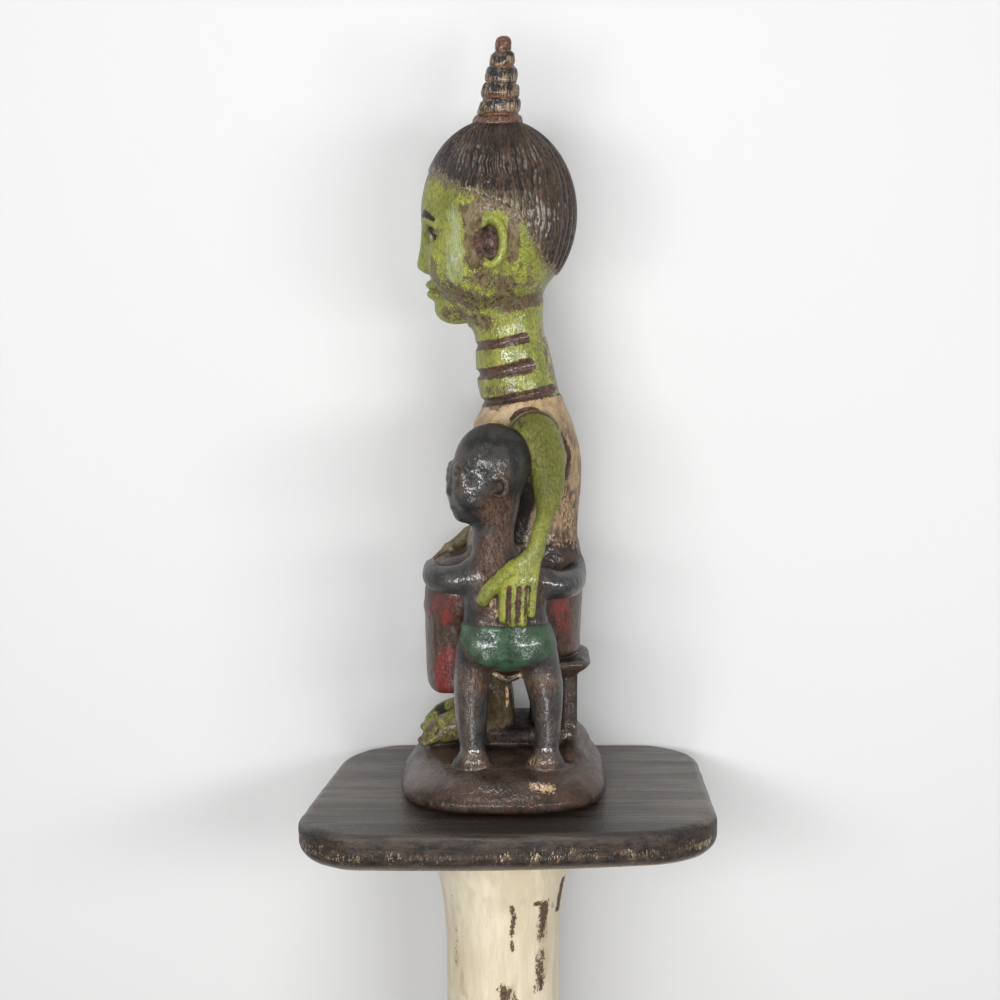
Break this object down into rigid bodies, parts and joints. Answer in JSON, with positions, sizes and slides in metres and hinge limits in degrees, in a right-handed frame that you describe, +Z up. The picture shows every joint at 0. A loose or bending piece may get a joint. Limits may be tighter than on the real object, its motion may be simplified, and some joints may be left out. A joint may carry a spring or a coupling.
{
  "type": "linguist staff",
  "caption": "Carved and painted ceremonial staff lying down: a seated woman and a child on a rounded board, on a long tapered shaft.",
  "frame": {"origin": "under the middle of the whole staff's box, on the ground that it lies on", "axes": "+Y along the staff towards the finial, +Z up; the woman faces -X with her left side, and the child, uppermost"},
  "size_m": [0.139, 1.5001, 0.1129],
  "materials": {
    "painted_carving": "old glossy paint over dark wood: green skin, cream blouse, red cloth, dark child",
    "dark_board": "near-black stained wood with worn edges",
    "cream_shaft": "cream paint, satin, chipped to dark wood"
  },
  "bodies": {
    "root": {"figure_group": "painted_carving", "platform": "dark_board", "shaft": "cream_shaft"}
  },
  "joints": []
}
